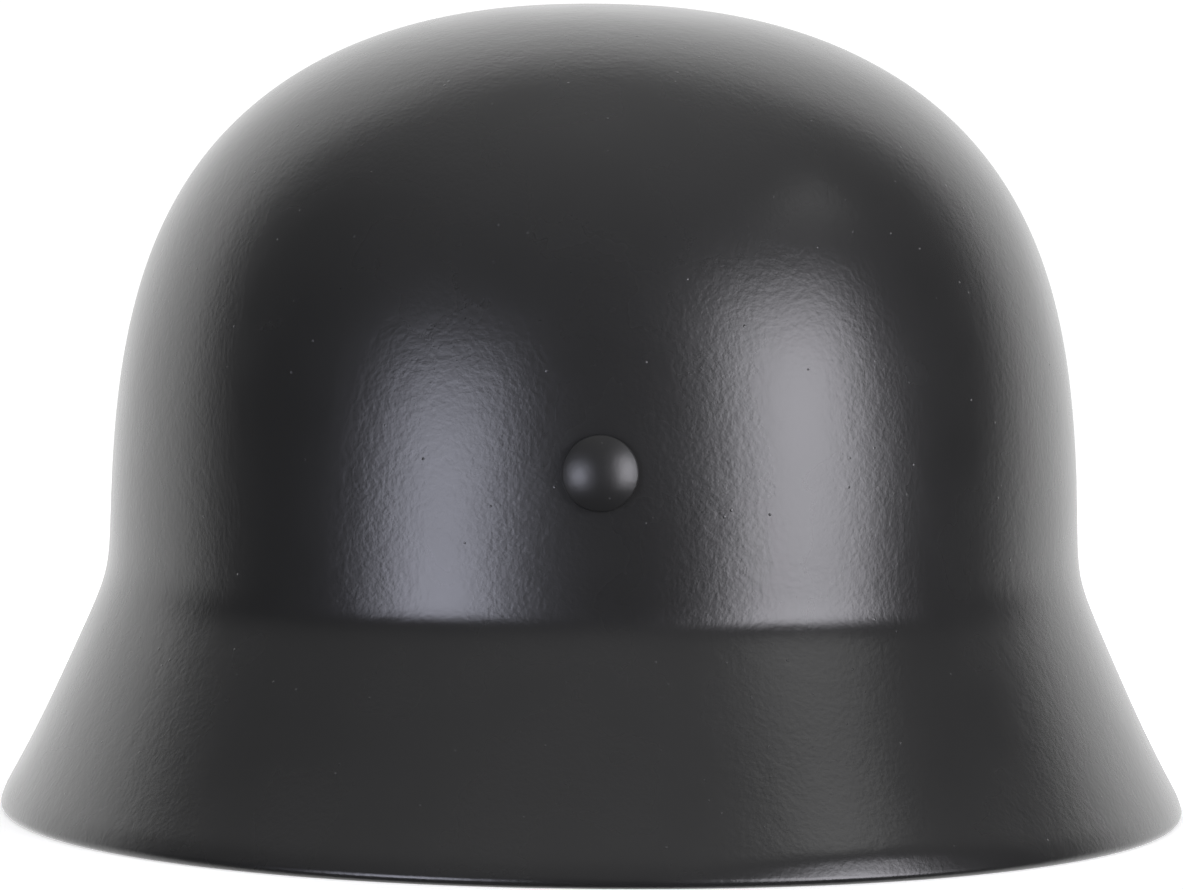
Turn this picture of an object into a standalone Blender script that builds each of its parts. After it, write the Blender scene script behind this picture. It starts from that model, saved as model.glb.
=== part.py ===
# A steel combat helmet with a visor, flared sides and a neck guard: one pressed shell with a rolled rim,
# three split rivets that carried its liner, and two bushed vent holes. The shell is empty inside.
# Metres, +Z up. The visor faces -Y and the neck guard +Y, so the wearer's left is at +X. The rim rests on the
# plane z = 0, round the back from ear to ear. The origin is in that plane, under the middle of the shell.

import math

import bmesh
import bpy
import numpy as np
from mathutils import Matrix, Vector

# The dome, measured outside. Its widest section is nearer the back than the front.
DOME_WIDTH = 0.1938
DOME_REAR_REACH = 0.1010
DOME_FRONT_REACH = 0.1300
CROWN_HEIGHT = 0.1605
DOME_FOOT_HEIGHT = 0.0310
CROWN_ROUNDNESS = 2.24
SIDE_UPRIGHTNESS = 3.57
EGG_TAPER = 1.4
FRONT_FULLNESS = 0.035

# The skirt below the crease: how far it flares out beyond the dome at the neck, side, temple and visor.
NECK_RUN = 0.0310
SIDE_RUN = 0.0211
TEMPLE_RUN = 0.0140
VISOR_RUN = 0.0270
CREASE_REAR_HEIGHT = 0.0463
CREASE_FRONT_HEIGHT = 0.0780
CREASE_SOFTNESS = 0.0027
TEMPLE_LIFT = 0.0360
VISOR_LIFT = 0.0140

# Where those change, in degrees round from the middle of the back.
SIDE_ANGLE = 90.0
TEMPLE_ANGLE = 128.0
VISOR_FULL_ANGLE = 160.0
CREASE_RISE_ANGLES = (85.0, 170.0)
TEMPLE_LIFT_ANGLES = (106.0, 150.0)
VISOR_LIFT_ANGLES = (125.0, 180.0)

# The sheet, and the hem that its edge is rolled into.
WALL = 0.0012
HEM_RADIUS = 0.0013
HEM_LEAF = 0.0042
HEM_FLAT_ANGLE = 40.0

# A split rivet: a domed head outside, a shank through the wall and two prongs opened out inside.
HEAD_RADIUS = 0.0070
HEAD_RISE = 0.0022
HEAD_EDGE = 0.0009
HEAD_ROUNDING = 0.0004
SHANK_RADIUS = 0.0025
PRONG_LENGTH = 0.0170
PRONG_WIDTH = 0.0046
PRONG_THICKNESS = 0.0010
PRONG_BOW = 0.0022
PRONG_BOW_REACH = 0.0075
RIVET_HEIGHT_REAR = 0.0718
RIVET_HEIGHT_SIDE = 0.0840
RIVET_ANGLE_SIDE = 133.0

# A vent bushing: a rolled flange outside, a tube through the wall and a clinched flange inside.
VENT_BORE_RADIUS = 0.0021
VENT_TUBE_RADIUS = 0.0031
VENT_FLANGE_RADIUS = 0.0047
VENT_CLINCH_RADIUS = 0.0044
VENT_FLANGE_RISE = 0.0008
VENT_CLINCH_RISE = 0.0005
VENT_EDGE = 0.0002
VENT_HEIGHT = 0.1040
VENT_ANGLE = 102.0

# Clearances where one piece sits on another or passes through it.
SEAT_GAP = 0.0003
HOLE_GAP = 0.0003
PRONG_GAP = 0.0010

# How finely the curved surfaces are divided.
SHELL_SECTIONS = 80
SKIRT_ROWS = 3
DOME_ROWS = 12
CREASE_ROW_STEPS = (3.6, 2.2, 1.2, 0.4, -0.4, -1.2, -2.2, -3.6)
TURNED_SIDES = 20
HEAD_ROWS = 5
PRONG_ROWS = 7
LIP_ROWS = 4

REAR_REACH = DOME_REAR_REACH + NECK_RUN
FRONT_REACH = DOME_FRONT_REACH + VISOR_RUN
WIDEST_Y = (FRONT_REACH - REAR_REACH) / 2

PAINT = {"name": "charcoal_paint", "colour": (0.030, 0.030, 0.031, 1.0), "roughness": 0.42, "metallic": 0.0}
RIVET_PAINT = {"name": "rivet_paint", "colour": (0.034, 0.034, 0.035, 1.0), "roughness": 0.38, "metallic": 0.0}
VENT_PAINT = {"name": "vent_paint", "colour": (0.028, 0.028, 0.029, 1.0), "roughness": 0.45, "metallic": 0.0}


def eased(value, start, end):
    """0 before start, 1 after end, and a smooth rise between them."""
    share = np.clip((value - start) / (end - start), 0.0, 1.0)
    return share**3 * (10.0 - 15.0 * share + 6.0 * share**2)


def turn_from_rear(angle):
    """An angle in degrees round from the middle of the back, the same on the left and the right."""
    return np.abs((np.degrees(angle) + 180.0) % 360.0 - 180.0)


def dome_plan_radius(angle):
    """The dome's radius at its foot: an egg, blunt at the back and longer at the front."""
    along, across = np.cos(angle), np.sin(angle)
    frontness = ((1.0 - along) / 2.0) ** EGG_TAPER
    reach = DOME_REAR_REACH + (DOME_FRONT_REACH - DOME_REAR_REACH) * frontness
    fullness = 1.0 + FRONT_FULLNESS * np.maximum(0.0, -2.0 * along * np.abs(across)) ** 3
    return fullness / np.hypot(across / (DOME_WIDTH / 2.0), along / reach)


def dome_share(height):
    """The dome's radius at a height, as a share of its radius at the foot."""
    climb = np.clip((height - DOME_FOOT_HEIGHT) / (CROWN_HEIGHT - DOME_FOOT_HEIGHT), 0.0, 1.0)
    return (1.0 - climb**SIDE_UPRIGHTNESS) ** (1.0 / CROWN_ROUNDNESS)


def flare_run(angle):
    """How far the rim stands out beyond the dome's foot."""
    turn = turn_from_rear(angle)
    run = NECK_RUN + (SIDE_RUN - NECK_RUN) * eased(turn, 0.0, SIDE_ANGLE)
    run = run + (TEMPLE_RUN - SIDE_RUN) * eased(turn, SIDE_ANGLE, TEMPLE_ANGLE)
    return run + (VISOR_RUN - TEMPLE_RUN) * eased(turn, TEMPLE_ANGLE, VISOR_FULL_ANGLE)


def crease_height(angle):
    rise = eased(turn_from_rear(angle), *CREASE_RISE_ANGLES)
    return CREASE_REAR_HEIGHT + (CREASE_FRONT_HEIGHT - CREASE_REAR_HEIGHT) * rise


def rim_height(angle):
    """The height of the rim's underside: 0 from ear to ear round the back, lifted over the temples and visor."""
    turn = turn_from_rear(angle)
    return TEMPLE_LIFT * eased(turn, *TEMPLE_LIFT_ANGLES) + VISOR_LIFT * eased(turn, *VISOR_LIFT_ANGLES)


def bend(drop):
    """0 above the crease and the drop itself below it, with a rounded join."""
    return CREASE_SOFTNESS * np.logaddexp(0.0, drop / CREASE_SOFTNESS)


def hem_section(angle):
    """The hem's centre, as a radius and a height, and the slope at which the skirt runs down to it."""
    half_flat = math.radians(HEM_FLAT_ANGLE / 2.0)
    centre_radius = dome_plan_radius(angle) + flare_run(angle) - HEM_RADIUS
    centre_height = rim_height(angle) + HEM_RADIUS * math.cos(half_flat)
    slope = flare_run(angle) / (crease_height(angle) - centre_height)
    for _ in range(5):
        lean = np.arctan(slope)
        meet_radius = centre_radius + HEM_RADIUS * np.cos(lean)
        meet_height = centre_height + HEM_RADIUS * np.sin(lean)
        slope = (meet_radius - dome_plan_radius(angle)) / bend(crease_height(angle) - meet_height)
    return centre_radius, centre_height, slope


def outer_radius(angle, height):
    """The outer surface: how far it stands from the upright axis through the widest section."""
    slope = hem_section(angle)[2]
    return dome_plan_radius(angle) * dome_share(height) + slope * bend(crease_height(angle) - height)


def outer_gradient(angle, height):
    """Which way the outer surface faces, as parts outward, round and up, before it is made one long."""
    step_angle, step_height = 1e-5, 1e-7
    radius = outer_radius(angle, height)
    round_rate = (outer_radius(angle + step_angle, height) - outer_radius(angle - step_angle, height)) / (
        2.0 * step_angle
    )
    up_rate = (outer_radius(angle, height + step_height) - outer_radius(angle, height - step_height)) / (
        2.0 * step_height
    )
    return np.ones_like(radius), -round_rate / radius, -up_rate


def placed(angle, radius, height):
    """Points in the part's frame from an angle, a radius and a height."""
    x, y, z = np.broadcast_arrays(radius * np.sin(angle), WIDEST_Y + radius * np.cos(angle), height)
    return np.stack([x, y, z], axis=-1)


def outer_normal(angle, height):
    outward, around, up = outer_gradient(angle, height)
    normal = np.stack(
        [
            outward * np.sin(angle) + around * np.cos(angle),
            outward * np.cos(angle) - around * np.sin(angle),
            up,
        ],
        axis=-1,
    )
    return normal / np.linalg.norm(normal, axis=-1, keepdims=True)


def height_over_shell(point):
    """How far a point near the wall stands out from the outer surface. It is negative inside."""
    x, y = point[0], point[1] - WIDEST_Y
    angle, radius = np.arctan2(x, y), np.hypot(x, y)
    outward, around, up = outer_gradient(angle, np.float64(point[2]))
    return (radius - outer_radius(angle, point[2])) / math.sqrt(outward**2 + around**2 + up**2)


def dome_levels(angle):
    """Heights of the dome's rows on each section, from just above the crease to just below the crown."""
    first = crease_height(angle) + CREASE_ROW_STEPS[0] * CREASE_SOFTNESS
    span = CROWN_HEIGHT - DOME_FOOT_HEIGHT
    start = np.arcsin(((first - DOME_FOOT_HEIGHT) / span) ** (SIDE_UPRIGHTNESS / 2.0))
    for row in range(1, DOME_ROWS + 1):
        climb = start + (math.pi / 2.0 - start) * row / (DOME_ROWS + 1)
        yield DOME_FOOT_HEIGHT + span * np.sin(climb) ** (2.0 / SIDE_UPRIGHTNESS)


def skirt_levels(angle, lowest):
    """Heights of the rows from the top of the crease down to the given lowest one."""
    for step in CREASE_ROW_STEPS:
        yield crease_height(angle) + step * CREASE_SOFTNESS
    last = crease_height(angle) + CREASE_ROW_STEPS[-1] * CREASE_SOFTNESS
    for row in range(1, SKIRT_ROWS + 1):
        yield last + (lowest - last) * row / SKIRT_ROWS


def hem_rings(angle):
    """The rolled edge: round the outside, flat underneath where it rests, and up the inside."""
    centre_radius, centre_height, slope = hem_section(angle)
    lean = np.arctan(slope)
    half_flat = math.radians(HEM_FLAT_ANGLE / 2.0)
    down, inside = -math.pi / 2.0, lean - math.pi
    outer_turns = [lean / 2.0, 0.0, (down + half_flat) / 2.0]
    inner_turns = [(down - half_flat + inside) / 2.0, inside]
    for turn in outer_turns:
        yield placed(angle, centre_radius + HEM_RADIUS * np.cos(turn), centre_height + HEM_RADIUS * np.sin(turn))
    for side in (1.0, -1.0):
        yield placed(angle, centre_radius + side * HEM_RADIUS * math.sin(half_flat), rim_height(angle))
    for turn in inner_turns:
        yield placed(angle, centre_radius + HEM_RADIUS * np.cos(turn), centre_height + HEM_RADIUS * np.sin(turn))
    leaf_radius = centre_radius + HEM_RADIUS * np.cos(inside) - HEM_LEAF * np.sin(lean)
    leaf_height = centre_height + HEM_RADIUS * np.sin(inside) + HEM_LEAF * np.cos(lean)
    yield placed(angle, leaf_radius, leaf_height)


def solid(name, rings, finish, looped=False):
    """A closed object lofted through rings of points. A ring of one point is a pole, and a looped one has no ends."""
    mesh_data = bmesh.new()
    rows = [[mesh_data.verts.new(point) for point in ring] for ring in rings]
    pairs = list(zip(rows, rows[1:])) + ([(rows[-1], rows[0])] if looped else [])
    for above, below in pairs:
        sides = max(len(above), len(below))
        for side in range(sides):
            following = (side + 1) % sides
            corners = [above[side % len(above)], above[following % len(above)]]
            corners += [below[following % len(below)], below[side % len(below)]]
            mesh_data.faces.new(list(dict.fromkeys(corners)))
    if not looped:
        for end in (rows[0], rows[-1]):
            if len(end) > 1:
                mesh_data.faces.new(end)
    bmesh.ops.recalc_face_normals(mesh_data, faces=mesh_data.faces)
    mesh = bpy.data.meshes.new(name)
    mesh_data.to_mesh(mesh)
    mesh_data.free()
    mesh.shade_smooth()
    mesh.set_sharp_from_angle(angle=math.radians(40.0))
    made = bpy.data.objects.new(name, mesh)
    bpy.context.scene.collection.objects.link(made)
    made.data.materials.append(painted(finish))
    return made


def painted(finish):
    """The material of that name, made the first time it is asked for."""
    if finish["name"] in bpy.data.materials:
        return bpy.data.materials[finish["name"]]
    material = bpy.data.materials.new(finish["name"])
    material.use_nodes = True
    shader = material.node_tree.nodes["Principled BSDF"]
    shader.inputs["Base Color"].default_value = finish["colour"]
    shader.inputs["Roughness"].default_value = finish["roughness"]
    shader.inputs["Metallic"].default_value = finish["metallic"]
    return material


def make_shell():
    """The pressed wall: outer surface, rolled hem and inner surface, a wall's thickness apart."""
    angle = np.linspace(0.0, 2.0 * math.pi, SHELL_SECTIONS, endpoint=False)
    centre_radius, centre_height, slope = hem_section(angle)
    lean = np.arctan(slope)
    hem_start = centre_height + HEM_RADIUS * np.sin(lean)
    leaf_top = hem_start + HEM_LEAF * np.cos(lean)
    outer_levels = list(reversed(list(dome_levels(angle)))) + list(skirt_levels(angle, hem_start))
    inner_levels = list(reversed(list(dome_levels(angle)))) + list(skirt_levels(angle, leaf_top))
    outer = [placed(angle, outer_radius(angle, level), level) for level in outer_levels]
    inner = [
        placed(angle, outer_radius(angle, level), level) - WALL * outer_normal(angle, level)
        for level in reversed(inner_levels)
    ]
    crown = [(0.0, WIDEST_Y, CROWN_HEIGHT)]
    inner_crown = [(0.0, WIDEST_Y, CROWN_HEIGHT - WALL)]
    return solid("shell", [crown, *outer, *hem_rings(angle), *inner, inner_crown], PAINT)


def wall_frame(turn, height):
    """A frame on the outer surface: X runs level along the wall, Y up it, and Z straight out of it."""
    angle = np.float64(math.radians(turn))
    origin = Vector(placed(angle, outer_radius(angle, height), np.float64(height)))
    outward = Vector(outer_normal(angle, np.float64(height)))
    level = Vector((0.0, 0.0, 1.0)).cross(outward).normalized()
    up = outward.cross(level)
    frame = Matrix((level, up, outward)).transposed().to_4x4()
    frame.translation = origin
    return frame


def seated(frame, x, y, gap):
    """A point in the wall's frame, raised or sunk until it stands that far out from the outer surface."""
    point = Vector((x, y, gap))
    for _ in range(4):
        point.z += gap - height_over_shell(frame @ point)
    return point


def circle(radius, sides=TURNED_SIDES):
    for side in range(sides):
        angle = 2.0 * math.pi * side / sides
        yield radius * math.cos(angle), radius * math.sin(angle)


def level_ring(radius, height):
    return [Vector((x, y, height)) for x, y in circle(radius)]


def seated_ring(frame, radius, gap):
    return [seated(frame, x, y, gap) for x, y in circle(radius)]


def prong_strip(frame):
    """Both prongs as one bowed strip inside the wall: out from the shank's end, then along the wall to the tips."""
    half_width, half_thickness = PRONG_WIDTH / 2.0, PRONG_THICKNESS / 2.0
    rings = []
    for row in range(-PRONG_ROWS, PRONG_ROWS + 1):
        share = row / PRONG_ROWS
        along = share * PRONG_LENGTH
        bow = PRONG_BOW * (1.0 - eased(abs(along), 0.0, PRONG_BOW_REACH))
        depth = -(WALL + PRONG_GAP + half_thickness + bow)
        corners = [(-1, 1), (1, 1), (1, -1), (-1, -1)]
        ring = []
        for side, face in corners:
            point = seated(frame, along, side * half_width, depth)
            point.z += face * half_thickness
            ring.append(point)
        rings.append(ring)
    return rings


def make_rivet(name, turn, height):
    frame = wall_frame(turn, height)
    cap_radius = (HEAD_RADIUS**2 + HEAD_RISE**2) / (2.0 * HEAD_RISE)
    cap_middle = SEAT_GAP + HEAD_EDGE + HEAD_RISE - cap_radius
    head = [[Vector((0.0, 0.0, cap_middle + cap_radius))]]
    for row in range(1, HEAD_ROWS + 1):
        tilt = math.asin((HEAD_RADIUS - HEAD_ROUNDING) / cap_radius) * row / HEAD_ROWS
        head.append(level_ring(cap_radius * math.sin(tilt), cap_middle + cap_radius * math.cos(tilt)))
    head.append(level_ring(HEAD_RADIUS, SEAT_GAP + HEAD_EDGE - HEAD_ROUNDING))
    underside = [seated_ring(frame, HEAD_RADIUS, SEAT_GAP), seated_ring(frame, SHANK_RADIUS, SEAT_GAP)]
    shank_end = -(WALL + PRONG_GAP + PRONG_BOW + PRONG_THICKNESS / 2.0)
    shank = [level_ring(SHANK_RADIUS, shank_end), [Vector((0.0, 0.0, shank_end))]]
    rivet = solid(name, [*head, *underside, *shank], RIVET_PAINT)
    rivet.matrix_world = frame
    prongs = solid(name + "_prongs", prong_strip(frame), RIVET_PAINT)
    prongs.matrix_world = frame
    as_helper(prongs)
    join = rivet.modifiers.new("join_prongs", "BOOLEAN")
    join.operation = "UNION"
    join.solver = "EXACT"
    join.object = prongs
    return rivet


def lip_rings(edge_radius, base, rise, turns):
    """A half-round lip from one edge of a flange to the other, standing up from its base by the rise."""
    middle = (edge_radius + VENT_BORE_RADIUS) / 2.0
    half_width = (edge_radius - VENT_BORE_RADIUS) / 2.0
    for turn in turns:
        yield level_ring(middle - half_width * math.cos(turn), base + rise * math.sin(turn))


def make_vent(name, turn):
    frame = wall_frame(turn, VENT_HEIGHT)
    inner_seat = -(WALL + SEAT_GAP)
    lip_turns = [math.pi * row / LIP_ROWS for row in range(LIP_ROWS + 1)]
    rings = [
        *lip_rings(VENT_FLANGE_RADIUS, SEAT_GAP + VENT_EDGE, VENT_FLANGE_RISE, lip_turns),
        seated_ring(frame, VENT_FLANGE_RADIUS, SEAT_GAP),
        seated_ring(frame, VENT_TUBE_RADIUS, SEAT_GAP),
        seated_ring(frame, VENT_TUBE_RADIUS, inner_seat),
        seated_ring(frame, VENT_CLINCH_RADIUS, inner_seat),
        *lip_rings(VENT_CLINCH_RADIUS, inner_seat - VENT_EDGE, -VENT_CLINCH_RISE, reversed(lip_turns)),
    ]
    vent = solid(name, rings, VENT_PAINT, looped=True)
    vent.matrix_world = frame
    return vent


def as_helper(made):
    made.hide_render = True
    made.display_type = "WIRE"


def cut_hole(shell, name, turn, height, radius):
    """A round hole straight through the wall for a shank or a tube."""
    reach = 6.0 * WALL
    cutter = solid(name, [level_ring(radius, reach), level_ring(radius, -reach)], PAINT)
    cutter.matrix_world = wall_frame(turn, height)
    as_helper(cutter)
    cut = shell.modifiers.new(name, "BOOLEAN")
    cut.operation = "DIFFERENCE"
    cut.solver = "EXACT"
    cut.object = cutter
    return cutter


def main():
    for made in list(bpy.data.objects):
        bpy.data.objects.remove(made)
    helmet = bpy.data.objects.new("helmet", None)
    bpy.context.scene.collection.objects.link(helmet)
    shell = make_shell()
    pieces = [shell]
    rivets = {
        "rear_rivet": (0.0, RIVET_HEIGHT_REAR),
        "left_rivet": (RIVET_ANGLE_SIDE, RIVET_HEIGHT_SIDE),
        "right_rivet": (-RIVET_ANGLE_SIDE, RIVET_HEIGHT_SIDE),
    }
    for name, (turn, height) in rivets.items():
        pieces.append(make_rivet(name, turn, height))
        pieces.append(cut_hole(shell, name + "_hole", turn, height, SHANK_RADIUS + HOLE_GAP))
    for name, turn in {"left_vent": VENT_ANGLE, "right_vent": -VENT_ANGLE}.items():
        pieces.append(make_vent(name, turn))
        pieces.append(cut_hole(shell, name + "_hole", turn, VENT_HEIGHT, VENT_TUBE_RADIUS + HOLE_GAP))
    for piece in pieces:
        piece.parent = helmet


main()
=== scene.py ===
import math
import time

import bpy
from mathutils import Matrix, Vector


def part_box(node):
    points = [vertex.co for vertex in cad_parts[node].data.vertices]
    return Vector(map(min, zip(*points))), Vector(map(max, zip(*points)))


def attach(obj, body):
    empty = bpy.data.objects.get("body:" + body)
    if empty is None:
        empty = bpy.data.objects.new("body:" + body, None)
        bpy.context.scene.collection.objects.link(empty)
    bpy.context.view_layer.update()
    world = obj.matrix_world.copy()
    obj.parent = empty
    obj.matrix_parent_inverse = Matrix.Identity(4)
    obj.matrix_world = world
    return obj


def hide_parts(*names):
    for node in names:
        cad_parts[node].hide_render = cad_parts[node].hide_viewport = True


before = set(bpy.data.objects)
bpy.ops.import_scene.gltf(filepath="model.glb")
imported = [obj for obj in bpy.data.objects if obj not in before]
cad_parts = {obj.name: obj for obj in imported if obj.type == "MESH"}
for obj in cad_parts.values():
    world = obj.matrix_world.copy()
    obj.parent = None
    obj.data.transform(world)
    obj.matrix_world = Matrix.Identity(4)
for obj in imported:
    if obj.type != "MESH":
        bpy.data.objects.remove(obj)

began = time.perf_counter()
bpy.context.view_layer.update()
for name in ("Cube", "Light", "Camera"):  # the start-up file's own
    if name in bpy.data.objects:
        bpy.data.objects.remove(bpy.data.objects[name])
shellHigh = Vector(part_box("shell")[1])
print("frame loaded:", ", ".join(sorted(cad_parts)))


# numbers and vectors that a node tree works out


class Field:  # + - * / and ** between fields and plain numbers add Math nodes
    def __init__(self, tree, socket):
        self.tree = tree
        self.socket = socket

    def __add__(self, other):
        return mathNode("ADD", self, other)

    def __sub__(self, other):
        return mathNode("SUBTRACT", self, other)

    def __rsub__(self, other):
        return mathNode("SUBTRACT", other, self)

    def __mul__(self, other):
        return mathNode("MULTIPLY", self, other)

    def __rmul__(self, other):
        return mathNode("MULTIPLY", other, self)

    def __truediv__(self, other):
        return mathNode("DIVIDE", self, other)

    def __rtruediv__(self, other):
        return mathNode("DIVIDE", other, self)

    def __pow__(self, other):
        return mathNode("POWER", self, other)


def feed(slot, value):  # a link for a field, or else the value itself
    if isinstance(value, Field):
        value.tree.links.new(value.socket, slot)
    else:
        slot.default_value = value


def addNode(tree, kind, inputs=None, output=0, **settings):
    node = tree.nodes.new(kind)
    for name, value in settings.items():
        setattr(node, name, value)
    for name, value in (inputs or {}).items():
        feed(node.inputs[name], value)
    return Field(tree, node.outputs[output])


def mathNode(operation, *values):
    tree = next(value.tree for value in values if isinstance(value, Field))
    return addNode(tree, "ShaderNodeMath", dict(enumerate(values)), operation=operation)


def vectorNode(operation, *values):
    tree = next(value.tree for value in values if isinstance(value, Field))
    return addNode(tree, "ShaderNodeVectorMath", dict(enumerate(values)), operation=operation)


def scaled(vector, factor):
    inputs = {0: vector, "Scale": factor}
    return addNode(vector.tree, "ShaderNodeVectorMath", inputs, operation="SCALE")


def combined(tree, x, y, z):
    return addNode(tree, "ShaderNodeCombineXYZ", {"X": x, "Y": y, "Z": z})


def separated(vector):
    apart = vector.tree.nodes.new("ShaderNodeSeparateXYZ")
    feed(apart.inputs[0], vector)
    return [Field(vector.tree, apart.outputs[axis]) for axis in range(3)]


def between(vector, other, factor):
    values = {"Factor": factor, 4: vector, 5: other}
    return addNode(vector.tree, "ShaderNodeMix", values, output=1, data_type="VECTOR")


def remapped(value, start, end, low, high, kind="SMOOTHERSTEP"):
    inputs = {"Value": value, "From Min": start, "From Max": end, "To Min": low, "To Max": high}
    return addNode(value.tree, "ShaderNodeMapRange", inputs, interpolation_type=kind)


def useGroup(tree, group, values):  # a nested group's outputs, by name
    isShader = tree.bl_idname == "ShaderNodeTree"
    node = tree.nodes.new("ShaderNodeGroup" if isShader else "GeometryNodeGroup")
    node.node_tree = group
    for label, value in values.items():
        feed(node.inputs[label], value)
    return {socket.name: Field(tree, socket) for socket in node.outputs}


def newTree(name, kind, inputs, outputs):
    # a group with named inputs; returns the tree, its inputs as fields and its output node
    tree = bpy.data.node_groups.new(name, kind)
    for label, value in inputs.items():
        isVector = isinstance(value, Vector)
        socket = tree.interface.new_socket(label, in_out="INPUT", socket_type=socketKind(value))
        socket.default_value = tuple(value) if isVector else value
    for label, socketType in outputs.items():
        tree.interface.new_socket(label, in_out="OUTPUT", socket_type=socketType)
    entry = tree.nodes.new("NodeGroupInput")
    given = {label: Field(tree, entry.outputs[label]) for label in inputs}
    return tree, given, tree.nodes.new("NodeGroupOutput")


def socketKind(value):
    kinds = {int: "NodeSocketInt", float: "NodeSocketFloat", Vector: "NodeSocketVector"}
    return kinds.get(type(value), "NodeSocketMaterial")


def pieceFromTree(name, tree, values):
    # one modifier with its inputs set by identifier, then a plain mesh and no modifier
    holder = bpy.data.objects.new(name, bpy.data.meshes.new(name))
    bpy.context.scene.collection.objects.link(holder)
    modifier = holder.modifiers.new(name, "NODES")
    modifier.node_group = tree
    for item in tree.interface.items_tree:
        if item.in_out == "INPUT" and item.name in values:
            value = values[item.name]
            modifier[item.identifier] = tuple(value) if isinstance(value, Vector) else value
    return settle(holder)


def settle(piece):
    # the evaluated mesh takes the place of the modifiers
    bpy.context.view_layer.update()
    evaluated = piece.evaluated_get(bpy.context.evaluated_depsgraph_get())
    mesh = bpy.data.meshes.new_from_object(evaluated)
    piece.modifiers.clear()
    piece.data = mesh
    mesh.name = piece.name
    for index in range(len(mesh.materials) - 1, -1, -1):
        if mesh.materials[index] is None:
            mesh.materials.pop(index=index)
    return piece


# paint

paintLook = {
    "Peel Scale": 1050.0,  # bumps of the sprayed coat, per metre
    "Peel Height": 0.000038,
    "Swell Scale": 260.0,  # broader unevenness under them
    "Swell Height": 0.000036,
    "Grain Scale": 2600.0,
    "Grain Height": 0.000008,
    "Nib Scale": 210.0,  # cells per metre, with one speck in each
    "Nib Radius": 0.00032,
    "Nib Height": 0.00007,
    "Mottle Scale": 38.0,
}


def buildCoatGroup():
    # the relief of sprayed satin paint, and a slow mottle for its colour and gloss
    outputs = {"Height": "NodeSocketFloat", "Mottle": "NodeSocketFloat", "Nib": "NodeSocketFloat"}
    tree, given, out = newTree("sprayedCoat", "ShaderNodeTree", paintLook, outputs)
    place = addNode(tree, "ShaderNodeTexCoord", output="Object")
    layers = []
    for layer, detail in (("Peel", 2.0), ("Swell", 1.0), ("Grain", 1.0)):
        values = {"Vector": place, "Scale": given[layer + " Scale"], "Detail": detail}
        values["Roughness"] = 0.45
        layers.append(addNode(tree, "ShaderNodeTexNoise", values) * given[layer + " Height"])
    speckValues = {"Vector": place, "Scale": given["Nib Scale"]}
    speck = addNode(tree, "ShaderNodeTexVoronoi", speckValues, output="Distance")
    nib = remapped(speck / given["Nib Scale"], given["Nib Radius"], 0.0, 0.0, 1.0, "SMOOTHSTEP")
    mottleValues = {"Vector": place, "Scale": given["Mottle Scale"], "Detail": 4.0}
    feed(out.inputs["Height"], layers[0] + layers[1] + layers[2] + nib * given["Nib Height"])
    feed(out.inputs["Mottle"], addNode(tree, "ShaderNodeTexNoise", mottleValues))
    feed(out.inputs["Nib"], nib)
    return tree


coatGroup = buildCoatGroup()

finishes = {  # colour and roughness each run between two values as the mottle does
    "shellPaint": {"dark": 0.0128, "light": 0.0152, "smooth": 0.255, "rough": 0.285, "relief": 1.0},
    "insidePaint": {"dark": 0.0120, "light": 0.0165, "smooth": 0.36, "rough": 0.46, "relief": 1.5},
    "rivetPaint": {"dark": 0.0110, "light": 0.0130, "smooth": 0.33, "rough": 0.37, "relief": 0.6},
    "ventPaint": {"dark": 0.0120, "light": 0.0150, "smooth": 0.30, "rough": 0.34, "relief": 0.6},
}
mottleRange = (0.3, 0.7)  # the part of the mottle that shows
nibPaleness = 0.03
paintIor = 1.5


def makePaint(name):
    look = finishes[name]
    material = bpy.data.materials.new(name)
    material.use_nodes = True
    tree = material.node_tree
    shader = tree.nodes["Principled BSDF"]
    coat = tree.nodes.new("ShaderNodeGroup")
    coat.node_tree = coatGroup
    mottle = Field(tree, coat.outputs["Mottle"])
    grey = remapped(mottle, *mottleRange, look["dark"], look["light"], "LINEAR")
    grey = grey + Field(tree, coat.outputs["Nib"]) * nibPaleness
    feed(shader.inputs["Base Color"], combined(tree, grey, grey, grey))
    gloss = remapped(mottle, *mottleRange, look["smooth"], look["rough"], "LINEAR")
    feed(shader.inputs["Roughness"], gloss)
    relief = Field(tree, coat.outputs["Height"])
    bumpValues = {"Height": relief, "Distance": look["relief"], "Strength": 1.0}
    feed(shader.inputs["Normal"], addNode(tree, "ShaderNodeBump", bumpValues))
    shader.inputs["IOR"].default_value = paintIor
    return material


paints = {name: makePaint(name) for name in finishes}
print("paint made:", ", ".join(paints))


# shell

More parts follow.
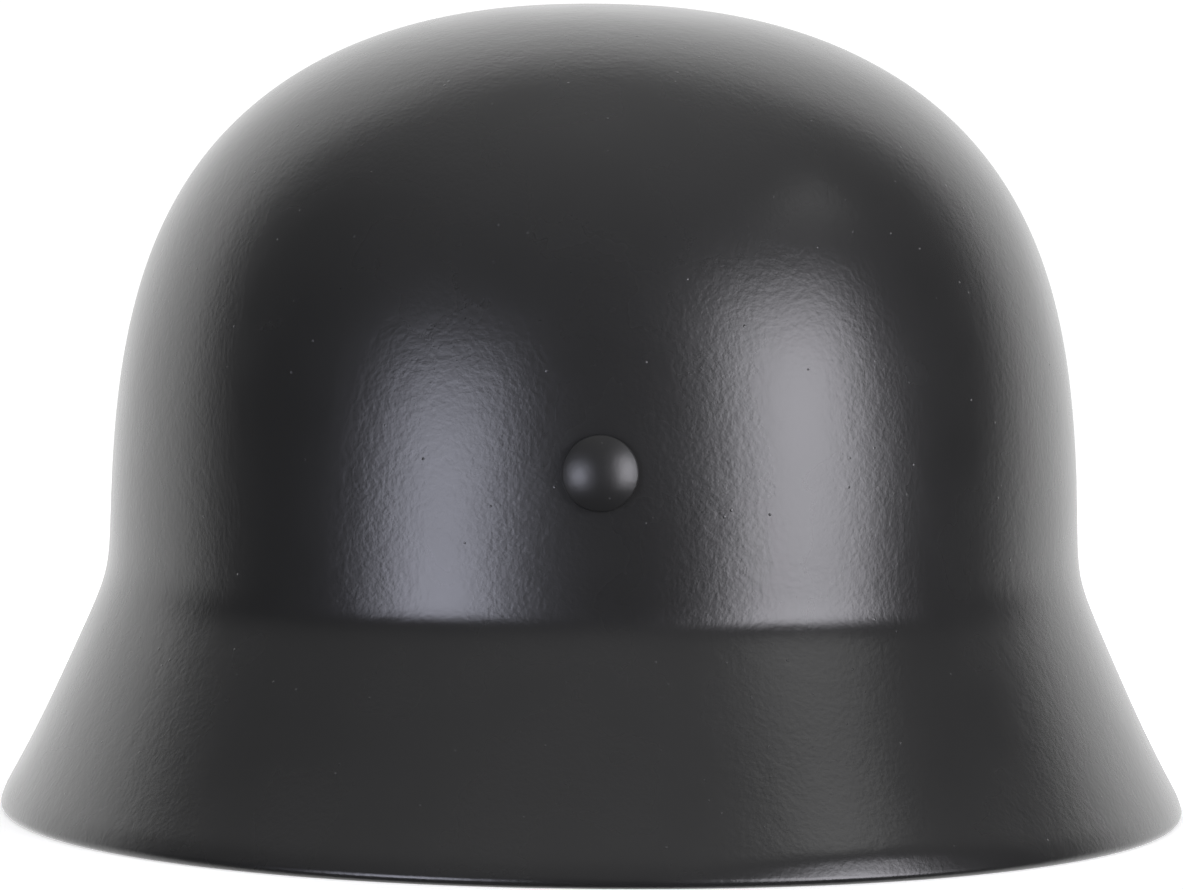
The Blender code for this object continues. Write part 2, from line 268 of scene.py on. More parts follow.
shellSizes = {  # metres, and angles in degrees round from the middle of the back
    "Dome Width": 0.1938,
    "Rear Reach": 0.1010,
    "Front Reach": 0.1300,
    "Crown Height": shellHigh.z,
    "Foot Height": 0.0310,
    "Crown Roundness": 2.24,
    "Side Uprightness": 3.57,
    "Egg Taper": 1.4,
    "Front Fullness": 0.035,
    "Neck Run": 0.0310,
    "Side Run": shellHigh.x - 0.1938 / 2.0,
    "Temple Run": 0.0140,
    "Visor Run": 0.0270,
    "Crease Rear Height": 0.0463,
    "Crease Front Height": 0.0780,
    "Crease Nape Dip": 0.0026,  # how much lower the crease runs across the nape than at the sides
    "Crease Sway": -0.00035,
    "Crease Rear Softness": 0.0013,
    "Crease Softness": 0.0027,
    "Skirt Hollow": 0.0007,
    "Rim Roll": 0.30,  # less slope in the last of the skirt, before the rolled edge
    "Rim Roll Reach": 0.0020,
    "Rim Roll Softness": 0.0006,
    "Rim Press": 0.22,  # more of it where the tool bore on the right of the nape
    "Rim Press Reach": 0.0013,
    "Temple Lift": 0.0360,
    "Visor Lift": 0.0140,
    "Wall": 0.0012,
    "Hem Radius": 0.0013,
    "Hem Leaf": 0.0042,
    "Wave Depth": 0.00012,
    "Wave Scale": 24.0,
}
shellTurns = {
    "side": 90.0,
    "temple": 128.0,
    "visor": 160.0,
    "creaseRise": (85.0, 170.0),
    "napeDip": (25.0, 85.0),
    "templeLift": (106.0, 150.0),
    "visorLift": (125.0, 180.0),
    "press": -23.5,
    "pressWidth": math.degrees(0.34),
    "hemFlat": 20.0,  # half of the hem's arc that is pressed level
}
shellRows = {
    "sections": 288,
    "outer": 161,
    "inner": 91,
    "hem": 21,
    "domeShare": 0.62,
    "hemShare": 0.8,
}
widestY = shellHigh.y - shellSizes["Rear Reach"] - shellSizes["Neck Run"]  # the angles turn about this
hollowPeak = 27.0 / 4.0  # makes s * s * (1 - s) peak at 1
angleTick = 0.01  # step to each side that the wall's turn is measured over
waveFade = (0.005, 0.022)  # heights over the rim between which the waves come in
weldReach = 0.00001


def domePlan(given, angle):
    along = mathNode("COSINE", angle)
    across = mathNode("SINE", angle)
    frontness = ((1.0 - along) * 0.5) ** given["Egg Taper"]
    reach = given["Rear Reach"] + (given["Front Reach"] - given["Rear Reach"]) * frontness
    shoulder = mathNode("MAXIMUM", along * mathNode("ABSOLUTE", across) * -2.0, 0.0)
    sideways = across / (given["Dome Width"] * 0.5)
    lengthways = along / reach
    fullness = given["Front Fullness"] * shoulder**3.0 + 1.0
    return fullness / mathNode("SQRT", sideways * sideways + lengthways * lengthways)


def bend(drop, softness):  # 0 above a fold and the drop below it, with a rounded join
    return softness * mathNode("LOGARITHM", mathNode("EXPONENT", drop / softness) + 1.0, math.e)


def buildSectionGroup():
    # all that depends on the angle alone: dome, crease, flare and rolled edge
    labels = ("Plan", "Crease", "Softness", "Rim", "Hem Radius", "Hem Height")
    labels = (*labels, "Slope", "Lean", "Start Height", "Roll", "Roll Reach")
    outputs = {label: "NodeSocketFloat" for label in labels}
    inputs = {**shellSizes, "Angle": 0.0}
    tree, given, out = newTree("shellSection", "GeometryNodeTree", inputs, outputs)
    turn = mathNode("ABSOLUTE", given["Angle"]) * math.degrees(1.0)
    sideChange = given["Temple Run"] - given["Side Run"]
    run = remapped(turn, 0.0, shellTurns["side"], given["Neck Run"], given["Side Run"])
    run = run + remapped(turn, shellTurns["side"], shellTurns["temple"], 0.0, sideChange)
    visorChange = given["Visor Run"] - given["Temple Run"]
    run = run + remapped(turn, shellTurns["temple"], shellTurns["visor"], 0.0, visorChange)
    creaseEnds = (given["Crease Rear Height"], given["Crease Front Height"])
    crease = remapped(turn, *shellTurns["creaseRise"], *creaseEnds)
    crease = crease - remapped(turn, *shellTurns["napeDip"], given["Crease Nape Dip"], 0.0)
    sway = remapped(turn, 60.0, 100.0, given["Crease Sway"], 0.0)
    crease = crease + sway * mathNode("SINE", given["Angle"] * 2.0)
    softEnds = (given["Crease Rear Softness"], given["Crease Softness"])
    softness = remapped(turn, *shellTurns["napeDip"], *softEnds)
    rim = remapped(turn, *shellTurns["templeLift"], 0.0, given["Temple Lift"])
    rim = rim + remapped(turn, *shellTurns["visorLift"], 0.0, given["Visor Lift"])
    plan = domePlan(given, given["Angle"])
    hemX = plan + run - given["Hem Radius"]
    hemZ = rim + given["Hem Radius"] * math.cos(math.radians(shellTurns["hemFlat"]))
    slope = run / (crease - hemZ)
    drop = crease - hemZ
    besidePress = mathNode("ABSOLUTE", given["Angle"] - math.radians(shellTurns["press"]))
    press = remapped(besidePress, 0.0, math.radians(shellTurns["pressWidth"]), 1.0, 0.0)
    roll = given["Rim Roll"] + given["Rim Press"] * press
    rollReach = given["Rim Roll Reach"] + given["Rim Press Reach"] * press
    rolled = roll / (mathNode("EXPONENT", rollReach / given["Rim Roll Softness"] * -1.0) + 1.0)
    tuck = roll * bend(rollReach, given["Rim Roll Softness"])
    for _ in range(5):  # the skirt runs down as a tangent to the rolled edge
        lean = mathNode("ARCTANGENT", slope + given["Skirt Hollow"] * hollowPeak / drop - rolled)
        startX = hemX + given["Hem Radius"] * mathNode("COSINE", lean)
        startZ = hemZ + given["Hem Radius"] * mathNode("SINE", lean)
        drop = crease - startZ
        domeX = plan * domeShare(given, domeClimb(given, startZ))
        slope = (startX - domeX + tuck) / bend(drop, softness)
    found = (plan, crease, softness, rim, hemX, hemZ, slope, lean, startZ, roll, rollReach)
    for label, value in zip(labels, found):
        feed(out.inputs[label], value)
    return tree


def sectionAt(given, angle):
    sizes = {label: given[label] for label in shellSizes}
    return useGroup(angle.tree, sectionGroup, {**sizes, "Angle": angle})


def domeClimb(given, height):
    span = given["Crown Height"] - given["Foot Height"]
    return remapped((height - given["Foot Height"]) / span, 0.0, 1.0, 0.0, 1.0, "LINEAR")


def domeShare(given, climb):
    left = mathNode("MAXIMUM", 1.0 - climb ** given["Side Uprightness"], 0.0)
    return left ** (1.0 / given["Crown Roundness"])


def skirtShare(section, height):  # 0 at the crease and 1 where the rolled edge starts
    return remapped(height, section["Crease"], section["Start Height"], 0.0, 1.0, "LINEAR")


def radiusAt(given, section, height):
    share = domeShare(given, domeClimb(given, height))
    flare = section["Slope"] * bend(section["Crease"] - height, section["Softness"])
    low = skirtShare(section, height)
    hollow = given["Skirt Hollow"] * hollowPeak * low * low * (1.0 - low)
    overRoll = section["Start Height"] + section["Roll Reach"] - height
    roll = section["Roll"] * bend(overRoll, given["Rim Roll Softness"])
    return section["Plan"] * share + flare - hollow - roll


def skirtFallAt(given, section, height):
    # how fast the skirt widens on the way down
    above = (height - section["Crease"]) / section["Softness"]
    low = skirtShare(section, height)
    drop = section["Crease"] - section["Start Height"]
    overRoll = (height - section["Start Height"] - section["Roll Reach"]) / given["Rim Roll Softness"]
    fall = section["Slope"] / (mathNode("EXPONENT", above) + 1.0)
    fall = fall - given["Skirt Hollow"] * hollowPeak * low * (2.0 - low * 3.0) / drop
    return fall - section["Roll"] / (mathNode("EXPONENT", overRoll) + 1.0)


def roundPoint(angle, radius, height):
    x = radius * mathNode("SINE", angle)
    y = radius * mathNode("COSINE", angle) + widestY
    return combined(angle.tree, x, y, height)


def buildWallGroup():
    # a point of the outer surface, sunk along its normal by the depth
    inputs = {**shellSizes, "Angle": 0.0, "Height": 0.0, "Depth": 0.0}
    outputs = {"Point": "NodeSocketVector", "Normal": "NodeSocketVector", "Radius": "NodeSocketFloat"}
    tree, given, out = newTree("shellWall", "GeometryNodeTree", inputs, outputs)
    angle, height = given["Angle"], given["Height"]
    section = sectionAt(given, angle)
    radius = radiusAt(given, section, height)
    ahead = radiusAt(given, sectionAt(given, angle + angleTick), height)
    behind = radiusAt(given, sectionAt(given, angle - angleTick), height)
    around = (ahead - behind) / (radius * (2.0 * angleTick))
    climb = domeClimb(given, height)
    # this keeps the crown's normal finite
    steep = domeShare(given, climb) ** (given["Crown Roundness"] - 1.0)
    span = given["Crown Height"] - given["Foot Height"]
    domeFall = section["Plan"] * climb ** (given["Side Uprightness"] - 1.0)
    domeFall = domeFall * given["Side Uprightness"] / (given["Crown Roundness"] * span)
    sine = mathNode("SINE", angle)
    cosine = mathNode("COSINE", angle)
    outX = steep * (sine - around * cosine)
    outY = steep * (cosine + around * sine)
    outZ = domeFall + steep * skirtFallAt(given, section, height)
    normal = vectorNode("NORMALIZE", combined(tree, outX, outY, outZ))
    point = roundPoint(angle, radius, height)
    waveValues = {"Vector": point, "Scale": given["Wave Scale"], "Detail": 1.0}
    wave = addNode(tree, "ShaderNodeTexNoise", waveValues) * given["Wave Depth"]
    fade = remapped(height - section["Rim"], *waveFade, 0.0, 1.0)  # none at the rolled edge
    sunk = scaled(normal, wave * fade + given["Depth"])
    feed(out.inputs["Point"], vectorNode("SUBTRACT", point, sunk))
    feed(out.inputs["Normal"], normal)
    feed(out.inputs["Radius"], radius)
    return tree


def wallAt(given, angle, height, depth=0.0):
    sizes = {label: given[label] for label in shellSizes}
    place = {"Angle": angle, "Height": height, "Depth": depth}
    return useGroup(angle.tree, wallGroup, {**sizes, **place})


sectionGroup = buildSectionGroup()
wallGroup = buildWallGroup()


def framedPoint(given, angle, height, across, along, rise):
    # a point beside a seat on the outer surface: level along the wall, up it and straight out
    seat = wallAt(given, angle, height)
    level = vectorNode("CROSS_PRODUCT", seat["Normal"], Vector((0.0, 0.0, 1.0)))
    level = vectorNode("NORMALIZE", level)
    up = vectorNode("CROSS_PRODUCT", level, seat["Normal"])
    point = vectorNode("ADD", seat["Point"], scaled(level, across))
    return vectorNode("ADD", vectorNode("ADD", point, scaled(up, along)), scaled(seat["Normal"], rise))


def wrappedPoint(given, angle, height, across, along, rise):
    # the same, but bent along with the wall
    seat = wallAt(given, angle, height)
    lean = separated(seat["Normal"])[2]
    higher = height + along * mathNode("SQRT", 1.0 - lean * lean)
    return wallAt(given, angle + across / seat["Radius"], higher, rise * -1.0)["Point"]


def sheetGrid(tree, rows, columns):
    # a flat grid whose X is the way round and Y the way along the profile
    sizes = {"Vertices X": columns, "Vertices Y": rows, "Size X": 1.0, "Size Y": 1.0}
    return addNode(tree, "GeometryNodeMeshGrid", sizes)


def gridShares(tree):
    x, y, _ = separated(addNode(tree, "GeometryNodeInputPosition"))
    return x * (2.0 * math.pi), y + 0.5


def sheetHeight(given, section, share, lowest):
    # rows run evenly over the dome, then evenly down from just above the crease
    span = given["Crown Height"] - given["Foot Height"]
    top = section["Crease"] + section["Softness"] * 4.0
    power = given["Side Uprightness"] / 2.0
    start = mathNode("ARCSINE", ((top - given["Foot Height"]) / span) ** power)
    domePart = remapped(share, 0.0, shellRows["domeShare"], math.pi / 2.0, start, "LINEAR")
    domeHeight = given["Foot Height"] + span * mathNode("SINE", domePart) ** (1.0 / power)
    return domeHeight - remapped(share, shellRows["domeShare"], 1.0, 0.0, top - lowest, "LINEAR")


def leafTop(given, section):
    # the inner end of the rolled edge
    lean = section["Lean"]
    climb = given["Hem Leaf"] * mathNode("COSINE", lean) - given["Hem Radius"] * mathNode("SINE", lean)
    return section["Hem Height"] + climb


def placedSheet(tree, rows, columns, position):
    inputs = {"Geometry": sheetGrid(tree, rows, columns), "Position": position}
    return addNode(tree, "GeometryNodeSetPosition", inputs)


def flipped(sheet):
    return addNode(sheet.tree, "GeometryNodeFlipFaces", {"Mesh": sheet})


def joined(tree, parts):
    # sheets welded along their seams and poles
    join = tree.nodes.new("GeometryNodeJoinGeometry")
    for part in parts:
        tree.links.new(part.socket, join.inputs[0])
    whole = Field(tree, join.outputs[0])
    return addNode(tree, "GeometryNodeMergeByDistance", {"Geometry": whole, "Distance": weldReach})


def finished(whole, paint):
    whole = addNode(whole.tree, "GeometryNodeSetShadeSmooth", {"Geometry": whole})
    whole = addNode(whole.tree, "GeometryNodeRealizeInstances", {"Geometry": whole})
    return addNode(whole.tree, "GeometryNodeSetMaterial", {"Geometry": whole, "Material": paint})


fixings = {  # degrees round from the middle of the back, height, and the radius of its hole
    "rear_rivet": {"Turn": 0.0, "Height": 0.0718, "Hole": 0.0027},
    "left_rivet": {"Turn": 133.0, "Height": 0.0840, "Hole": 0.0027},
    "right_rivet": {"Turn": -133.0, "Height": 0.0840, "Hole": 0.0027},
    "left_vent": {"Turn": 102.0, "Height": 0.1040, "Hole": 0.0033},
    "right_vent": {"Turn": -102.0, "Height": 0.1040, "Hole": 0.0033},
}


def holeCutter(tree, given, hole):
    pegSizes = {"Vertices": 48, "Radius": hole["Hole"], "Depth": 0.012}
    peg = addNode(tree, "GeometryNodeMeshCylinder", pegSizes)
    angle = addNode(tree, "ShaderNodeValue")
    angle.socket.default_value = math.radians(hole["Turn"])
    x, y, z = separated(addNode(tree, "GeometryNodeInputPosition"))
    place = framedPoint(given, angle, hole["Height"], x, y, z)
    return flipped(addNode(tree, "GeometryNodeSetPosition", {"Geometry": peg, "Position": place}))


meshOutput = {"Geometry": "NodeSocketGeometry"}


def buildShellTree():
    inputs = {**shellSizes, "Paint": paints["shellPaint"], "Inside Paint": paints["insidePaint"]}
    tree, given, out = newTree("pressedShell", "GeometryNodeTree", inputs, meshOutput)
    sections = shellRows["sections"] + 1
    angle, share = gridShares(tree)
    section = sectionAt(given, angle)
    outerHeight = sheetHeight(given, section, share, section["Start Height"])
    outerWall = wallAt(given, angle, outerHeight)
    outer = placedSheet(tree, shellRows["outer"], sections, outerWall["Point"])
    leafHeight = leafTop(given, section)
    innerHeight = sheetHeight(given, section, share, leafHeight)
    innerWall = wallAt(given, angle, innerHeight, given["Wall"])
    inner = placedSheet(tree, shellRows["inner"], sections, innerWall["Point"])
    marked = {"Geometry": flipped(inner), "Name": "inside", "Value": True}
    inner = addNode(tree, "GeometryNodeStoreNamedAttribute", marked, data_type="BOOLEAN", domain="FACE")
    # the edge is rolled in half a turn, then laid up inside as a narrow leaf
    lean, hemRadius = section["Lean"], given["Hem Radius"]
    turn = lean - remapped(share, 0.0, shellRows["hemShare"], 0.0, math.pi, "LINEAR")
    leaf = remapped(share, shellRows["hemShare"], 1.0, 0.0, given["Hem Leaf"], "LINEAR")
    hemX = section["Hem Radius"] + hemRadius * mathNode("COSINE", turn) - leaf * mathNode("SINE", lean)
    hemZ = section["Hem Height"] + hemRadius * mathNode("SINE", turn) + leaf * mathNode("COSINE", lean)
    hemPoint = roundPoint(angle, hemX, mathNode("MAXIMUM", hemZ, section["Rim"]))
    leafEnd = wallAt(given, angle, leafHeight, given["Wall"])["Point"]
    isEnd = mathNode("GREATER_THAN", share, 0.99)
    hem = placedSheet(tree, shellRows["hem"], sections, between(hemPoint, leafEnd, isEnd))
    cutting = tree.nodes.new("GeometryNodeMeshBoolean")
    cutting.operation = "DIFFERENCE"
    cutting.solver = "EXACT"
    tree.links.new(joined(tree, [outer, hem, inner]).socket, cutting.inputs["Mesh 1"])
    for hole in fixings.values():
        tree.links.new(holeCutter(tree, given, hole).socket, cutting.inputs["Mesh 2"])
    whole = finished(Field(tree, cutting.outputs["Mesh"]), given["Paint"])
    isInside = addNode(tree, "GeometryNodeInputNamedAttribute", {"Name": "inside"}, data_type="BOOLEAN")
    insideValues = {"Geometry": whole, "Selection": isInside, "Material": given["Inside Paint"]}
    feed(out.inputs[0], addNode(tree, "GeometryNodeSetMaterial", insideValues))
    return tree


def dress(piece, node):
    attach(piece, "root")
    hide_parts(node)
    seconds = round(time.perf_counter() - began)
    print("made", piece.name + ":", len(piece.data.polygons), "faces,", seconds, "s in")


shell = pieceFromTree("pressed_shell", buildShellTree(), shellSizes)
dress(shell, "shell")


# rivets

rivetSizes = {
    "Head Radius": 0.0070,
    "Head Height": 0.0034,
    "Head Rounding": 0.00045,
    "Cap Turn": math.radians(32.6),
    "Seat Gap": 0.00005,
    "Shank Radius": 0.0025,
    "Shank Length": 0.0020,
    "Leg Length": 0.0170,
    "Leg Width": 0.0046,
    "Leg Thickness": 0.0010,
    "Leg Split": 0.00025,
    "Leg Bow": 0.0022,
    "Leg Bow Reach": 0.0075,
    "Leg Gap": 0.0004,
}
rivetRows = {"head": 81, "headRound": 73, "leg": 81, "legRound": 33}


def stepped(share, start, end, amount):
    return remapped(share, start, end, 0.0, amount, "LINEAR")


def squared(wave):  # flattens a sine so that a section drawn with it is a rounded box
    size = mathNode("ABSOLUTE", wave)
    return mathNode("SIGN", wave) * size**0.4


def rivetHead(tree, given, angle):
    # cap, rounded edge, underside and shank, turned in one profile
    around, share = gridShares(tree)
    capTurn = given["Cap Turn"]
    rounding = given["Head Rounding"]
    capSine = mathNode("SINE", capTurn)
    capCosine = mathNode("COSINE", capTurn)
    capRadius = (given["Head Radius"] - rounding * (1.0 - capSine)) / capSine
    capAt = stepped(share, 0.0, 0.45, capTurn)
    edgeAt = remapped(share, 0.45, 0.6, capTurn, math.pi / 2.0, "LINEAR")
    reach = capRadius * mathNode("SINE", capAt)
    reach = reach + rounding * (mathNode("SINE", edgeAt) - capSine)
    reach = reach - stepped(share, 0.7, 0.8, given["Head Radius"] - given["Shank Radius"])
    reach = reach - stepped(share, 0.95, 1.0, given["Shank Radius"])
    drop = capRadius * (1.0 - mathNode("COSINE", capAt))
    drop = drop + rounding * (capCosine - mathNode("COSINE", edgeAt))
    edgeDrop = given["Head Height"] - given["Seat Gap"]
    edgeDrop = edgeDrop - capRadius * (1.0 - capCosine) - rounding * capCosine
    rise = given["Head Height"] - drop - stepped(share, 0.6, 0.7, edgeDrop)
    rise = rise - stepped(share, 0.8, 0.95, given["Shank Length"])
    across = reach * mathNode("COSINE", around)
    along = reach * mathNode("SINE", around)
    straight = framedPoint(given, angle, given["Height"], across, along, rise)
    wrapped = wrappedPoint(given, angle, given["Height"], across, along, rise)
    headPoint = between(straight, wrapped, stepped(share, 0.6, 0.7, 1.0))
    return placedSheet(tree, rivetRows["head"], rivetRows["headRound"], headPoint)


def legPath(given, travel):
    # out of the shank, round the turn, then back towards the wall: reach along it and depth
    turnDepth = given["Wall"] + given["Leg Gap"] + given["Leg Thickness"] * 0.5 + given["Leg Bow"]
    run = bend(travel - turnDepth, 0.0005)
    depth = travel - run - remapped(run, 0.0, given["Leg Bow Reach"], 0.0, given["Leg Bow"])
    return run + (given["Leg Thickness"] + given["Leg Split"]) * 0.5, depth


def rivetLeg(tree, given, angle, side):
    around, share = gridShares(tree)
    travel = share * (given["Leg Length"] + given["Wall"] + given["Leg Bow"])
    reach, depth = legPath(given, travel)
    nextReach, nextDepth = legPath(given, travel + 0.0001)
    leanX = nextReach - reach
    leanZ = nextDepth - depth
    length = mathNode("SQRT", leanX * leanX + leanZ * leanZ)
    tip = stepped(share, 0.88, 1.0, 1.0)
    tipWidth = mathNode("SQRT", 1.0 - tip * tip)
    closing = stepped(share, 1.0, 0.97, 1.0) * stepped(share, 0.0, 0.02, 1.0)
    thick = squared(mathNode("SINE", around)) * given["Leg Thickness"] * 0.5 * closing**0.5
    along = squared(mathNode("COSINE", around)) * given["Leg Width"] * 0.5
    along = along * tipWidth * stepped(share, 0.0, 0.02, 1.0)
    across = (reach - thick * leanZ / length) * side
    deep = depth + thick * leanX / length
    legPoint = wrappedPoint(given, angle, given["Height"], across, along, deep * -1.0)
    leg = placedSheet(tree, rivetRows["leg"], rivetRows["legRound"], legPoint)
    return leg if side > 0.0 else flipped(leg)


def buildRivetTree():
    place = {"Turn": 0.0, "Height": 0.0}
    inputs = {**shellSizes, **rivetSizes, **place, "Paint": paints["rivetPaint"]}
    tree, given, out = newTree("splitRivet", "GeometryNodeTree", inputs, meshOutput)
    angle = given["Turn"] * math.radians(1.0)
    legs = [rivetLeg(tree, given, angle, side) for side in (1.0, -1.0)]
    whole = joined(tree, [rivetHead(tree, given, angle), *legs])
    feed(out.inputs[0], finished(whole, given["Paint"]))
    return tree


rivetTree = buildRivetTree()
for name in ("rear_rivet", "left_rivet", "right_rivet"):
    rivet = pieceFromTree("split_" + name, rivetTree, {**shellSizes, **rivetSizes, **fixings[name]})
    dress(rivet, name)


# vent bushings

ventSizes = {
    "Bore Radius": 0.0021,
    "Tube Radius": 0.0031,
    "Flange Radius": 0.0047,
    "Clinch Radius": 0.0044,
    "Flange Rise": 0.0008,
    "Clinch Rise": 0.0005,
    "Lip Edge": 0.0002,
    "Seat Gap": 0.00005,
}
ventRows = {"profile": 101, "round": 65}


def buildVentTree():
    place = {"Turn": 0.0, "Height": 0.0}
    inputs = {**shellSizes, **ventSizes, **place, "Paint": paints["ventPaint"]}
    tree, given, out = newTree("ventBushing", "GeometryNodeTree", inputs, meshOutput)
    angle = given["Turn"] * math.radians(1.0)
    around, share = gridShares(tree)
    outerTurn = stepped(share, 0.0, 0.3, math.pi)
    innerTurn = stepped(share, 0.62, 0.88, math.pi)
    lip = (given["Flange Radius"] - given["Bore Radius"]) * 0.5
    clinch = (given["Clinch Radius"] - given["Bore Radius"]) * 0.5
    reach = given["Bore Radius"] + lip * (1.0 - mathNode("COSINE", outerTurn))
    reach = reach - stepped(share, 0.35, 0.42, given["Flange Radius"] - given["Tube Radius"])
    reach = reach + stepped(share, 0.5, 0.57, given["Clinch Radius"] - given["Tube Radius"])
    reach = reach - clinch * (1.0 - mathNode("COSINE", innerTurn))
    through = given["Wall"] + given["Seat Gap"] * 2.0
    rise = given["Seat Gap"] + given["Lip Edge"] + given["Flange Rise"] * mathNode("SINE", outerTurn)
    rise = rise - stepped(share, 0.3, 0.35, given["Lip Edge"]) - stepped(share, 0.42, 0.5, through)
    rise = rise - stepped(share, 0.57, 0.62, given["Lip Edge"])
    rise = rise - given["Clinch Rise"] * mathNode("SINE", innerTurn)
    rise = rise + stepped(share, 0.88, 1.0, through + given["Lip Edge"] * 2.0)
    across = reach * mathNode("COSINE", around)
    along = reach * mathNode("SINE", around)
    ringPoint = wrappedPoint(given, angle, given["Height"], across, along, rise)
    ring = placedSheet(tree, ventRows["profile"], ventRows["round"], ringPoint)
    feed(out.inputs[0], finished(joined(tree, [ring]), given["Paint"]))
    return tree


ventTree = buildVentTree()
for name in ("left_vent", "right_vent"):
    vent = pieceFromTree("bushed_" + name, ventTree, {**shellSizes, **ventSizes, **fixings[name]})
    dress(vent, name)


# camera and stage

cameraPlace = {  # metres from the widest place, and degrees
    "distance": 1.048,
    "sideways": 0.0006,
    "height": 0.1227,
    "turn": 0.58,
    "pitch": 2.762,
    "roll": 0.551,
}
cameraLens = 5222.0 / 1183.0 * 36.0


def placeCamera():
    camera = bpy.data.objects.new("camera", bpy.data.cameras.new("camera"))
    bpy.context.scene.collection.objects.link(camera)
    camera.data.sensor_width = 36.0
    camera.data.lens = cameraLens
    camera.data.clip_start = 0.05
    pitch = math.radians(cameraPlace["pitch"])
    roll = math.radians(cameraPlace["roll"])
    forward = Vector((0.0, -math.cos(pitch), -math.sin(pitch)))
    level = Vector((-1.0, 0.0, 0.0))
    upright = level.cross(forward)
    right = level * math.cos(roll) + upright * math.sin(roll)
    up = upright * math.cos(roll) - level * math.sin(roll)
    aim = Matrix((right, up, -forward)).transposed().to_4x4()
    aim.translation = Vector((cameraPlace["sideways"], cameraPlace["distance"], cameraPlace["height"]))
    spin = Matrix.Rotation(-math.radians(cameraPlace["turn"]), 4, "Z")
    camera.matrix_world = Matrix.Translation((0.0, widestY, 0.0)) @ spin @ aim
    bpy.context.scene.camera = camera


placeCamera()

studioLights = {  # degrees round from behind the camera to its right, degrees up, and brightness
    "rightBox": {
        "Azimuth": 48.6,
        "Half Width": 15.7,
        "Side Fade": 14.0,
        "Low": -11.0,
        "Low Fade": 5.0,
        "High": 28.0,
        "High Fade": 22.0,
        "Brightness": 9.0,
    },
    "leftBox": {
        "Azimuth": -35.6,
        "Half Width": 12.6,
        "Side Fade": 14.0,
        "Low": -12.5,
        "Low Fade": 7.0,
        "High": 17.5,
        "High Fade": 13.0,
        "Brightness": 7.5,
        "Lower Gain": 0.02,  # more of it, per degree down
    },
    "backdrop": {
        "Azimuth": -175.5,
        "Half Width": 70.5,
        "Narrowing": 0.39,  # less of it, per degree up
        "Side Fade": 26.0,
        "Low": -100.0,
        "Low Fade": 5.0,
        "High": 60.0,
        "High Fade": 28.0,
        "Brightness": 1.5,
    },
}
lightTints = {"rightBox": (1.0, 0.985, 1.06), "leftBox": (0.985, 1.0, 1.18)}
ceiling = {"start": 6.0, "end": 108.0, "brightness": 0.8, "everywhere": 0.03}
plainWhite = (1.1, 1.1, 1.1)


def buildPanelGroup():
    # how bright a soft-edged panel of light is in each direction
    inputs = {**studioLights["rightBox"], "Narrowing": 0.0, "Lower Gain": 0.0, "Around": 0.0, "Up": 0.0}
    tree, given, out = newTree("lightPanel", "ShaderNodeTree", inputs, {"Light": "NodeSocketFloat"})
    apart = mathNode("ABSOLUTE", mathNode("WRAP", given["Around"] - given["Azimuth"], 180.0, -180.0))
    half = given["Half Width"] - given["Narrowing"] * given["Up"]
    side = given["Side Fade"] * 0.5
    beside = remapped(apart, half - side, half + side, 1.0, 0.0, "SMOOTHSTEP")
    lowFade = given["Low Fade"] * 0.5
    over = remapped(given["Up"], given["Low"] - lowFade, given["Low"] + lowFade, 0.0, 1.0, "SMOOTHSTEP")
    highFade = given["High Fade"] * 0.5
    under = remapped(given["Up"], given["High"] - highFade, given["High"] + highFade, 1.0, 0.0, "SMOOTHSTEP")
    graded = given["Brightness"] * (1.0 - given["Lower Gain"] * given["Up"])
    feed(out.inputs["Light"], beside * over * under * graded)
    return tree


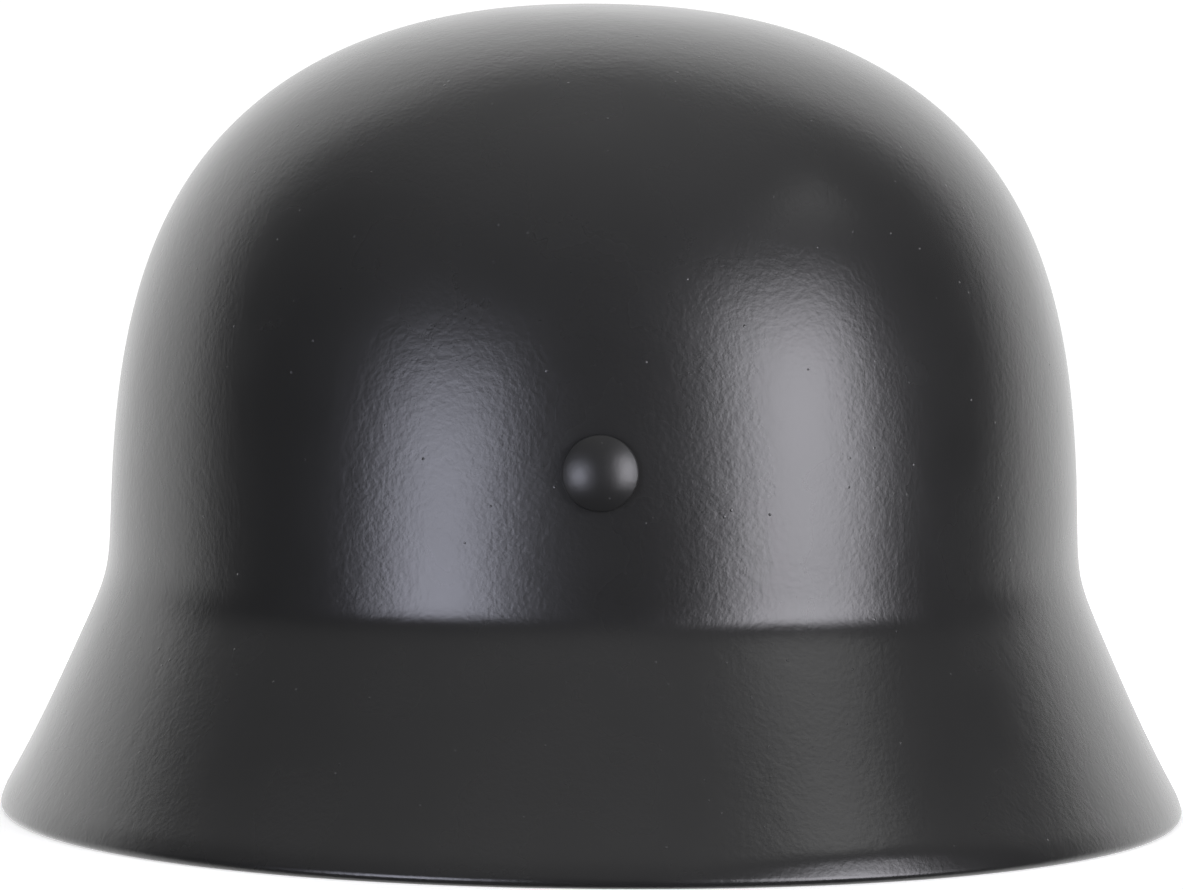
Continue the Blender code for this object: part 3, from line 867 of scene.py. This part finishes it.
def lightStudio():
    # softboxes, a white backdrop beyond the helmet and a dim ceiling
    world = bpy.data.worlds.new("studio")
    bpy.context.scene.world = world
    world.use_nodes = True
    tree = world.node_tree
    x, y, z = separated(addNode(tree, "ShaderNodeTexCoord", output="Generated"))
    around = mathNode("ARCTAN2", x * -1.0, y) * math.degrees(1.0)
    up = mathNode("ARCSINE", z) * math.degrees(1.0)
    panelGroup = buildPanelGroup()
    light = {}
    for name, look in studioLights.items():
        panel = tree.nodes.new("ShaderNodeGroup")
        panel.node_tree = panelGroup
        for label, value in look.items():
            panel.inputs[label].default_value = value
        feed(panel.inputs["Around"], around)
        feed(panel.inputs["Up"], up)
        light[name] = Field(tree, panel.outputs["Light"])
    top = remapped(up, ceiling["start"], ceiling["end"], 0.0, ceiling["brightness"], "SMOOTHSTEP")
    plain = mathNode("MAXIMUM", light["backdrop"], top) + ceiling["everywhere"]
    colour = combined(tree, plain, plain, plain)
    for name, tint in lightTints.items():
        colour = vectorNode("ADD", colour, scaled(combined(tree, *tint), light[name]))
    seen = addNode(tree, "ShaderNodeLightPath", output="Is Camera Ray")
    # the camera itself sees plain white
    shown = between(colour, combined(tree, *plainWhite), seen)
    feed(tree.nodes["Background"].inputs["Color"], shown)


lightStudio()

napeLamp = {
    "place": (-0.154, 0.149, 0.215),
    "aim": (-0.047, 0.137, 0.008),
    "width": 0.11,
    "height": 0.09,
    "spread": 50.0,  # narrow, so that the dome doesn't mirror it
    "power": 0.0041,
}


def hangNapeLamp():
    # a small lamp close above the right of the nape, for that part of the skirt
    light = bpy.data.lights.new("napeLamp", "AREA")
    light.shape = "RECTANGLE"
    light.size = napeLamp["width"]
    light.size_y = napeLamp["height"]
    light.energy = napeLamp["power"]
    light.spread = math.radians(napeLamp["spread"])
    lamp = bpy.data.objects.new("napeLamp", light)
    bpy.context.scene.collection.objects.link(lamp)
    lamp.location = napeLamp["place"]
    aim = Vector(napeLamp["aim"]) - Vector(napeLamp["place"])
    lamp.rotation_euler = aim.to_track_quat("-Z", "Y").to_euler()
    lamp.visible_camera = False


hangNapeLamp()


floorLook = {"radius": 1.2, "corners": 96, "grey": 0.8, "roughness": 0.9, "glow": 0.55}


def addFloor():
    radius, count = floorLook["radius"], floorLook["corners"]
    mesh = bpy.data.meshes.new("floor")
    turns = [math.tau * i / count for i in range(count)]
    corners = [(radius * math.cos(a), radius * math.sin(a), 0.0) for a in turns]
    mesh.from_pydata(corners, [], [tuple(range(count))])
    floor = bpy.data.objects.new("floor", mesh)
    bpy.context.scene.collection.objects.link(floor)
    material = bpy.data.materials.new("paleFloor")
    material.use_nodes = True
    shader = material.node_tree.nodes["Principled BSDF"]
    shader.inputs["Base Color"].default_value = (*[floorLook["grey"]] * 3, 1.0)
    shader.inputs["Roughness"].default_value = floorLook["roughness"]
    shader.inputs["Emission Color"].default_value = (1.0, 1.0, 1.0, 1.0)
    shader.inputs["Emission Strength"].default_value = floorLook["glow"]
    mesh.materials.append(material)
    floor.visible_glossy = False


addFloor()
bpy.context.scene.view_settings.view_transform = "Standard"
